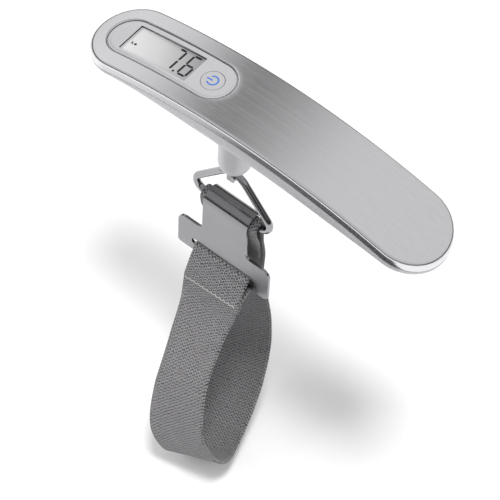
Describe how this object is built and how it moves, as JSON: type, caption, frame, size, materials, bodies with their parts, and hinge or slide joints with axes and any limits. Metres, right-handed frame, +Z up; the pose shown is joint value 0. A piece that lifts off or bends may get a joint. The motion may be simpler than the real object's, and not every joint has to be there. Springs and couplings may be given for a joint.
{
  "type": "luggage scale",
  "caption": "Handheld digital luggage scale: arched steel-faced grip with display and button, and a hook, wire ring, buckle plate and webbing loop below",
  "frame": {"origin": "the middle of the grip, where the hand that holds the scale closes around it", "axes": "+X runs along the grip to the reader's right, +Y points away from the reader, +Z points up out of the display; the ring, buckle and strap hang along -Z"},
  "size_m": [0.1438, 0.0582, 0.1862],
  "materials": {
    "brushed_steel": "brushed along its width",
    "dark_plastic": "moulded",
    "silver_plastic": "fine satin paint",
    "lcd": "grey reflective display with dark segments",
    "black_rubber": "conductive elastomer",
    "board": "solder mask",
    "black_plastic": "moulded",
    "aluminium": "machined",
    "stamped_steel": "zinc plated, satin",
    "chrome": "bright nickel plating",
    "gauge_film": "polyimide film",
    "red_insulation": "wire insulation",
    "webbing": "woven polypropylene webbing"
  },
  "bodies": {
    "grip": {"steel_cover": "brushed_steel", "inner_chassis": "dark_plastic", "lower_housing": "silver_plastic", "display_bezel": "silver_plastic", "lcd_panel": "lcd", "contact_strip_far": "black_rubber", "contact_strip_near": "black_rubber", "circuit_board": "board", "chip_cover": "black_plastic", "button_switch": "black_plastic", "load_cell_beam": "aluminium", "load_cell_screw_left": "stamped_steel", "load_cell_screw_right": "stamped_steel", "load_hook": "stamped_steel", "hook_pin": "chrome", "strain_gauge_top": "gauge_film", "strain_gauge_bottom": "gauge_film", "sensor_lead": "red_insulation", "coin_cell": "chrome", "cell_holder": "dark_plastic", "cell_contact_negative": "chrome", "cell_contact_positive": "chrome", "battery_lead_red": "red_insulation", "battery_lead_black": "black_plastic", "housing_screw_1": "stamped_steel", "housing_screw_2": "stamped_steel", "housing_screw_3": "stamped_steel", "housing_screw_4": "stamped_steel"},
    "power_button": {"power_button": "silver_plastic"},
    "battery_door": {"battery_door": "silver_plastic"},
    "ring": {"wire_ring": "chrome"},
    "strap": {"strap_loop": "webbing", "strap_doubled_end": "webbing"},
    "buckle": {"buckle_plate": "stamped_steel", "strap_fold": "webbing"}
  },
  "joints": [
    {"name": "power_button_press", "type": "slide", "parent": "grip", "child": "power_button", "axis": [0.0959, 0, -0.9954], "range_m": [0, 0.0006], "stiffness_N_per_m": 400},
    {"name": "battery_door_off", "type": "slide", "parent": "grip", "child": "battery_door", "axis": [0, 0, -1], "range_m": [0, 0.014]},
    {"name": "ring_swing", "type": "hinge", "parent": "grip", "child": "ring", "pos_m": [-0.0127, 0, -0.0346], "axis": [1, 0, 0], "range_deg": [-60, 60]},
    {"name": "strap_swing", "type": "hinge", "parent": "ring", "child": "strap", "pos_m": [-0.0127, 0, -0.0559], "axis": [1, 0, 0], "range_deg": [-60, 60]},
    {"name": "buckle_open", "type": "hinge", "parent": "strap", "child": "buckle", "pos_m": [-0.0127, 0, -0.0559], "axis": [-1, 0, 0], "range_deg": [0, 20]}
  ]
}
